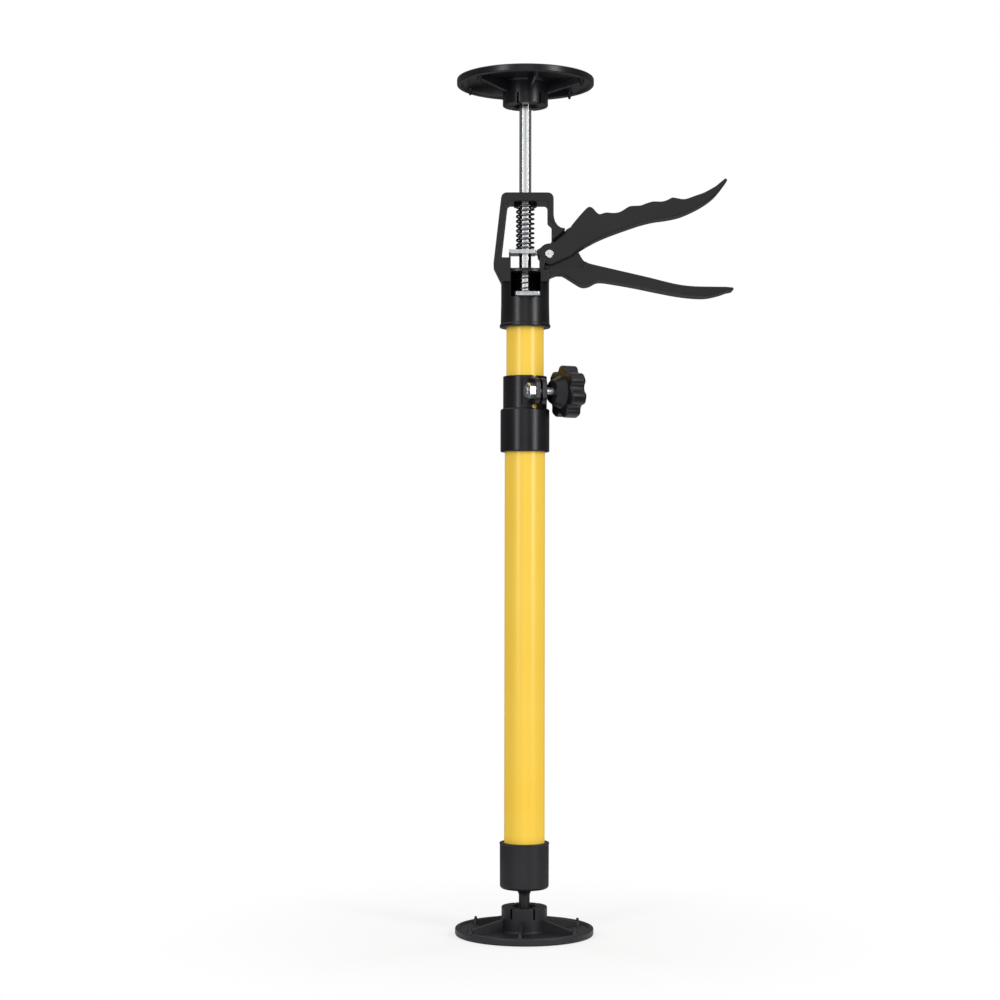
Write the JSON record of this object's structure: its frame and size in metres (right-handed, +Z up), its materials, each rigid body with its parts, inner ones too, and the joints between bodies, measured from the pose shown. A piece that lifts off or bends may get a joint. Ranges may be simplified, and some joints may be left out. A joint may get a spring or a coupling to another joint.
{
  "type": "telescopic support pole",
  "caption": "Hand-tightened telescopic pole for holding boards to a ceiling, with a squeeze-grip fine feed and swivelling round foot and head plates.",
  "frame": {"origin": "centre of the foot plate's outer face, on the pole's axis", "axes": "+Z up along the pole; +X is the way the two handles reach; the grip's open recess faces -Y"},
  "size_m": [0.2061, 0.1024, 0.6365],
  "materials": {
    "tube_paint": "glossy yellow powder coat on steel",
    "moulded_black": "satin black moulded nylon",
    "grip_black": "fine matt black glass-filled nylon",
    "bright_steel": "bright drawn steel",
    "zinc_steel": "zinc-plated steel",
    "spring_steel": "plated spring wire"
  },
  "bodies": {
    "pole": {"outer_tube": "tube_paint", "foot_cap": "moulded_black", "clamp_collar": "moulded_black", "clamp_nut": "bright_steel"},
    "stud": {"foot_ball_stud": "moulded_black"},
    "foot": {"foot_plate": "moulded_black"},
    "knob": {"clamp_knob": "moulded_black", "clamp_stud": "zinc_steel"},
    "grip": {"inner_tube": "tube_paint", "tube_guide": "moulded_black", "grip_frame": "grip_black", "pivot_pin": "bright_steel", "drive_spring": "spring_steel", "release_spring": "spring_steel"},
    "lever": {"squeeze_lever": "grip_black"},
    "drive": {"drive_plate": "zinc_steel"},
    "release": {"release_plate": "zinc_steel"},
    "rod": {"push_rod": "bright_steel", "rod_stop": "zinc_steel"},
    "ball": {"top_ball": "moulded_black"},
    "head": {"head_plate": "moulded_black"}
  },
  "joints": [
    {"name": "foot_swivel", "type": "hinge", "parent": "pole", "child": "stud", "pos_m": [0, 0, 0.0105], "axis": [0, 0, 1], "continuous": true},
    {"name": "foot_tilt", "type": "hinge", "parent": "stud", "child": "foot", "pos_m": [0, 0, 0.0105], "axis": [0, 1, 0], "range_deg": [-15, 15]},
    {"name": "knob_turn", "type": "hinge", "parent": "pole", "child": "knob", "pos_m": [0.00986, -0.01854, 0.4012], "axis": [0.8829, 0.4695, 0], "continuous": true},
    {"name": "tube_slide", "type": "slide", "parent": "pole", "child": "grip", "axis": [0, 0, 1], "range_m": [-0.0358, 0.255]},
    {"name": "lever_squeeze", "type": "hinge", "parent": "grip", "child": "lever", "pos_m": [0.0179, 0, 0.504], "axis": [0, 1, 0], "range_deg": [0, 21], "stiffness_Nm_per_rad": 0.5, "springref_deg": -11.46},
    {"name": "drive_plate_lift", "type": "slide", "parent": "grip", "child": "drive", "axis": [0, 0, 1], "range_m": [0, 0.0028], "deforming": ["drive_spring"]},
    {"name": "release_press", "type": "hinge", "parent": "grip", "child": "release", "pos_m": [0, 0.0085, 0.47411], "axis": [-1, 0, 0], "range_deg": [0, 6], "stiffness_Nm_per_rad": 0.3, "springref_deg": -5.73, "deforming": ["release_spring"]},
    {"name": "rod_slide", "type": "slide", "parent": "grip", "child": "rod", "axis": [0, 0, 1], "range_m": [-0.061, 0.2585]},
    {"name": "head_swivel", "type": "hinge", "parent": "rod", "child": "ball", "pos_m": [0, 0, 0.626], "axis": [0, 0, 1], "continuous": true},
    {"name": "head_tilt", "type": "hinge", "parent": "ball", "child": "head", "pos_m": [0, 0, 0.626], "axis": [0, 1, 0], "range_deg": [-15, 15]}
  ],
  "couplings": [
    {"joint": "drive_plate_lift", "follows": "lever_squeeze", "m_per_rad": 0.00716}
  ]
}
